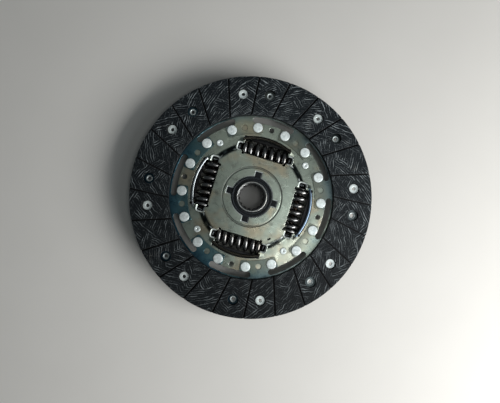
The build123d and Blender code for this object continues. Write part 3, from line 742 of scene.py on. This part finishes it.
# %% The strips' own normal
away = reckon_vector(tree, "MULTIPLY", place, (1, 1, 0))
away = reckon_vector(tree, "NORMALIZE", away.outputs[0])
lean = reckon(tree, "SUBTRACT", distance_from_axis(tree, place), STRIP_R * MM)
lean = reckon(tree, "DIVIDE", lean, STRIP_ARC_R * MM)
upright = reckon(tree, "MULTIPLY_ADD", reckon(tree, "MULTIPLY", lean, lean), -1.0, 1.0)
upright = add_node(tree, "ShaderNodeCombineXYZ", {2: reckon(tree, "SQRT", upright)})
away = reckon_vector(tree, "SCALE", away.outputs[0], Scale=lean)
arc_normal = reckon_vector(tree, "ADD", away.outputs[0], upright.outputs[0])
arc_normal = add_node(
    tree, "ShaderNodeVectorTransform", {0: arc_normal.outputs[0]},
    vector_type="NORMAL", convert_from="OBJECT", convert_to="WORLD",
)
grained = now_fed(shader, "Normal")
chosen = add_node(
    tree, "ShaderNodeMix", {0: strip, 4: grained, 5: arc_normal.outputs[0]}, data_type="VECTOR"
)
feed(tree, shader, Normal=chosen.outputs[1])

# %% [markdown]
# ## Blue tempered steel
# The spring segments are tempered, which leaves an oxide that runs from olive near the plate
# to teal and deep blue under the facings. The colour follows the distance from the axis, so
# the radius drives a ramp, and noise keeps its bands from being perfect circles.

# %% Finish: blue tempered steel
blued_steel, tree, place, shader = steel_finish(
    "blued_steel", clean=(0.20, 0.235, 0.225), stain=(0.22, 0.235, 0.20),
    smudge=(0.08, 0.11, 0.12), gloss=0.32, wear=(0.22, 0.25, 0.245), grain_depth=0.010,
)
from_axis = distance_from_axis(tree, place)
uneven = reckon(tree, "MULTIPLY_ADD", cloud(tree, place, 14.0, 2.0), 14 * MM, -7 * MM)
# Half of the ring was hotter, and turned a deeper blue.
sideways = along_direction(tree, place, 205)
hotter = stretch(tree, reckon(tree, "ADD", sideways, uneven), -25 * MM, 55 * MM)
band = stretch(tree, reckon(tree, "ADD", from_axis, uneven), 62 * MM, 84 * MM)
oxide = add_node(tree, "ShaderNodeValToRGB", {0: band})
oxide.color_ramp.elements[0].color = (1.10, 1.05, 0.95, 1)
oxide.color_ramp.elements[1].color = (0.30, 0.34, 0.40, 1)
middle_band = oxide.color_ramp.elements.new(0.55)
middle_band.color = (0.74, 0.86, 0.92, 1)
oxide_and_reflection = now_fed(shader, "Base Color")
oxide_and_reflection = tint(tree, 1.0, oxide_and_reflection, oxide.outputs[0], way="MULTIPLY")
oxide_and_reflection = tint(tree, hotter, oxide_and_reflection, (0.42, 0.72, 0.92), way="MULTIPLY")
# Two segments are painted paler, as a painted reflection of the lamps above.
for degrees, low, high, gain in (
    (112.5, 57, 66, (1.95, 1.75, 1.60)),
    (335, 60, 70, (2.50, 2.35, 2.20)),
):
    painted_reflection = stretch(tree, along_direction(tree, place, degrees), low * MM, high * MM)
    oxide_and_reflection = tint(tree, painted_reflection, oxide_and_reflection, gain, way="MULTIPLY")
feed(tree, shader, Base_Color=oxide_and_reflection)

# %% [markdown]
# ## Zinc, lacquer, forged steel and plastic
# Zinc plate on the rivets is pale and slightly blue, and scatters light more than bare steel, so
# most of it is a plain base and only the rest a metal. The outer springs carry a thin dark
# lacquer through which the steel shines as one long streak along each coil, and the inner ones
# are bare. The hub is a machined forging, and the centring ring is black filled plastic.

# %% Finish: zinc plate
zinc, tree, place, shader = steel_finish(
    "zinc_plate", clean=(0.88, 0.97, 0.98), stain=(0.80, 0.90, 0.90),
    smudge=(0.60, 0.70, 0.73), gloss=0.34, wear=(0.90, 0.95, 0.96), grain_depth=0.012,
)
feed(tree, shader, Metallic=0.30)
# The plating is mottled, and painted darker on one side of the disc as painted shade.
mottled_and_shaded = stretch(tree, cloud(tree, place, 2.0, 3.0, 0.65), 0.35, 0.65, 0.80, 1.08)
painted_side_shade = stretch(tree, along_direction(tree, place, 215), 15 * MM, 60 * MM, 1.0, 0.68)
mottled_and_shaded = reckon(tree, "MULTIPLY", mottled_and_shaded, painted_side_shade)
mottled_and_shaded = tint(tree, 1.0, now_fed(shader, "Base Color"), mottled_and_shaded, way="MULTIPLY")
feed(tree, shader, Base_Color=mottled_and_shaded)

# %% Finish: lacquered spring wire
wire_lacquer, tree, place, shader = start_finish("wire_lacquer")
run = cloud(tree, place, 6.0, 3.0)
colour = tint(tree, stretch(tree, run, 0.5, 0.7), (0.215, 0.218, 0.222), (0.225, 0.210, 0.190))
shade_and_oil = use_group(tree, corner_shade_and_oil, Place=place, Reach=1.5 * MM).outputs[0]
# Where the coils crowd, the wire is painted darker, as painted shade.
colour = tint(tree, shade_and_oil, colour, (0.030, 0.028, 0.027))
matt = reckon(tree, "MULTIPLY_ADD", cloud(tree, place, 2.0, 3.0), 0.12, 0.22)
height = reckon(tree, "ADD", cloud(tree, place, 3.0, 2.0), cloud(tree, place, 0.5, 2.0))
plain_normal = add_node(tree, "ShaderNodeNewGeometry").outputs["Normal"]
normal = use_group(tree, raised_grain, Height=height, Depth=0.02 * MM, Normal=plain_normal)
feed(tree, shader, Base_Color=colour, Metallic=1.0, Roughness=matt, Normal=normal.outputs[0])

# %% Finish: bare inner wire
inner_wire, tree, place, shader = steel_finish(
    "inner_wire", clean=(0.045, 0.040, 0.038), stain=(0.070, 0.048, 0.036),
    smudge=(0.020, 0.018, 0.017), gloss=0.36, wear=(0.30, 0.28, 0.26), grain_depth=0.006,
)
# The ground ends are painted pale, as a painted highlight: all four springs end where both |x| and
# |y| are over 24 mm.
sides = [reckon(tree, "ABSOLUTE", coordinate(tree, place, k)) for k in (0, 1)]
at_end = stretch(tree, reckon(tree, "MINIMUM", *sides), 23.9 * MM, 24.3 * MM)
end_highlight = tint(tree, at_end, now_fed(shader, "Base Color"), (0.70, 0.75, 0.80))
feed(tree, shader, Base_Color=end_highlight)
feed(tree, shader, Metallic=stretch(tree, at_end, 0, 1, 1.0, 0.4))

# %% Finish: machined forging
forged_steel, tree, place, shader = steel_finish(
    "forged_steel", clean=(0.40, 0.41, 0.41), stain=(0.34, 0.33, 0.29),
    smudge=(0.20, 0.20, 0.19), gloss=0.34, wear=(0.75, 0.77, 0.78), grain_depth=0.012,
)
# The flange is painted dark, partly for the oil-blackened skin of its heat treatment and partly as
# painted shade under the plates; only the barrel is turned.
skin_and_shade = stretch(tree, distance_from_axis(tree, place), 17.2 * MM, 18.4 * MM)
darkened = tint(tree, skin_and_shade, now_fed(shader, "Base Color"), (0.030, 0.031, 0.033))
# The bore is painted dark, for its oil and as painted shade deeper in, so that only the narrow end
# face shines.
oil_and_shade = stretch(tree, distance_from_axis(tree, place), 13.35 * MM, 13.2 * MM, 0.0, 0.85)
deep_in = stretch(tree, coordinate(tree, place, 2), 23.2 * MM, 22.4 * MM, 0.3, 1.0)
oil_and_shade = reckon(tree, "MULTIPLY", oil_and_shade, deep_in)
darkened = tint(tree, oil_and_shade, darkened, (0.055, 0.056, 0.060))
feed(tree, shader, Base_Color=darkened)

# %% Finish: black filled plastic
black_plastic, tree, place, shader = start_finish("black_plastic")
edge = use_group(tree, edge_wear_and_highlight, Width=0.45 * MM)
colour = tint(tree, cloud(tree, place, 3.0, 3.0), (0.001, 0.002, 0.003), (0.005, 0.007, 0.010))
# The edges are painted a pale blue, as a painted highlight.
colour = tint(tree, edge.outputs[0], colour, (0.075, 0.092, 0.110))
height = cloud(tree, place, 0.4, 3.0)
normal = use_group(tree, raised_grain, Height=height, Depth=0.03 * MM, Normal=edge.outputs[1])
matt = reckon(tree, "MULTIPLY_ADD", cloud(tree, place, 4.0, 3.0), 0.15, 0.34)
feed(
    tree, shader, Base_Color=colour, Roughness=matt, Normal=normal.outputs[0],
    Specular_IOR_Level=0.22,
)

# %% [markdown]
# ## Every piece gets its finish
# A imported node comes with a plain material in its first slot. Its shape is kept, and only that
# slot is changed.


# %% Hand out the finishes
def finish_with(material, *names):
    """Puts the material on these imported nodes."""
    for name in names:
        slots = nodes[name].data.materials
        if slots:
            slots[0] = material
        else:
            slots.append(material)


finish_with(lining, "front_facing", "rear_facing")
finish_with(blued_steel, *[f"cushion_segment_{k + 1}" for k in range(8)], "diaphragm_spring")
finish_with(drive_steel, "drive_plate")
finish_with(pressed_steel, "counter_plate", "support_washer")
finish_with(forged_steel, "hub")
finish_with(black_plastic, "centring_ring", "front_friction_washer", "rear_friction_washer")
for piece in rivets:
    piece.data.materials.append(zinc)
for piece in springs["outer"]:
    piece.data.materials.append(wire_lacquer)
for piece in springs["inner"]:
    piece.data.materials.append(inner_wire)
print("finishes:", sorted(m.name for m in bpy.data.materials if m.users))

# %% [markdown]
# ## Floor, light and camera
# The disc stands on its hub on a plain pale floor. Most of the light comes low from the right,
# as from a window, and a narrower lamp above that one carries its glow upwards. Steel shows
# what it reflects, and the flat plates reflect only what hangs almost straight above them. So
# three small lamps hang there, brightest on the right. They are small because light from
# straight above also falls through the slots onto the floor, which should stay dark there.

# %% Floor
floor_mesh = bpy.data.meshes.new("floor")
FLOOR_HALF = 3.0
corners = [(FLOOR_HALF * x, FLOOR_HALF * y, 0) for x, y in ((-1, -1), (1, -1), (1, 1), (-1, 1))]
floor_mesh.from_pydata(corners, [], [(0, 1, 2, 3)])
floor = bpy.data.objects.new("floor", floor_mesh)
bpy.context.scene.collection.objects.link(floor)
floor_paint, tree, place, shader = start_finish("floor_paint")
colour = tint(tree, cloud(tree, place, 60.0, 2.0), (0.68, 0.67, 0.65), (0.72, 0.71, 0.69))
feed(tree, shader, Base_Color=colour, Roughness=0.7)
floor_mesh.materials.append(floor_paint)


# %% Lamps and sky
def soft_lamp(name, turn, tilt, distance, wide, deep, radiance, colour):
    """A rectangular lamp that faces the disc, seen from it at turn round and tilt off vertical.

    Its power is radiance times area times pi.
    """
    turn, tilt = math.radians(turn), math.radians(tilt)
    towards = Vector(
        (math.sin(tilt) * math.cos(turn), math.sin(tilt) * math.sin(turn), math.cos(tilt))
    )
    data = bpy.data.lights.new(name, "AREA")
    data.shape, data.size, data.size_y = "RECTANGLE", wide, deep
    data.energy = radiance * wide * deep * math.pi
    data.color = colour
    lamp = bpy.data.objects.new(name, data)
    # The lamp's own width lies level.
    level = Vector((0, 0, 1)).cross(towards).normalized()
    lamp.matrix_world = Matrix.Translation(towards * distance) @ Matrix(
        (level, towards.cross(level), towards)
    ).transposed().to_4x4()
    lamp.visible_camera = False
    bpy.context.scene.collection.objects.link(lamp)


# Name, turn, tilt, distance, width, depth, radiance and colour of each, in degrees and metres.
LAMPS = [
    ("overhead", -12, 11, 0.70, 0.24, 0.12, 1.8, (0.97, 1.0, 0.98)),
    ("overhead_core", -21, 11.5, 0.70, 0.09, 0.06, 4.0, (1.0, 0.99, 0.94)),
    ("overhead_back", 95, 13, 0.70, 0.18, 0.14, 0.8, (1.0, 1.0, 0.94)),
    ("beside_window", -8, 38, 0.70, 0.20, 0.28, 2.4, (0.95, 0.98, 1.0)),
    ("window", -12, 60, 0.90, 0.84, 0.42, 10.0, (1.0, 0.99, 0.96)),
]
for lamp_row in LAMPS:
    soft_lamp(*lamp_row)
world = bpy.data.worlds.new("dim room")
bpy.context.scene.world = world
world.use_nodes = True
sky = world.node_tree.nodes["Background"]
SKY_COLOUR, SKY_STRENGTH = (0.86, 0.97, 1.0, 1), 0.08
feed(world.node_tree, sky, Color=SKY_COLOUR, Strength=SKY_STRENGTH)

# %% Camera
CAMERA_PLACE = (-12.7 * MM, -17.1 * MM, 421.2 * MM)
CAMERA_LENS, SENSOR_WIDTH = 30.74, 36.0
CAMERA_TURNS = (("Z", 17.0), ("X", 1.19), ("Y", -2.22))
cam_data = bpy.data.cameras.new("camera")
cam_data.lens, cam_data.sensor_width = CAMERA_LENS, SENSOR_WIDTH
camera = bpy.data.objects.new("camera", cam_data)
camera_pose = Matrix.Translation(CAMERA_PLACE)
for about, degrees in CAMERA_TURNS:
    camera_pose = camera_pose @ Matrix.Rotation(math.radians(degrees), 4, about)
camera.matrix_world = camera_pose
cam_data.clip_start, cam_data.clip_end = 0.01, 20.0
bpy.context.scene.collection.objects.link(camera)
bpy.context.scene.camera = camera
bpy.context.scene.view_settings.view_transform = "Standard"
print("camera at", [round(c, 4) for c in CAMERA_PLACE])
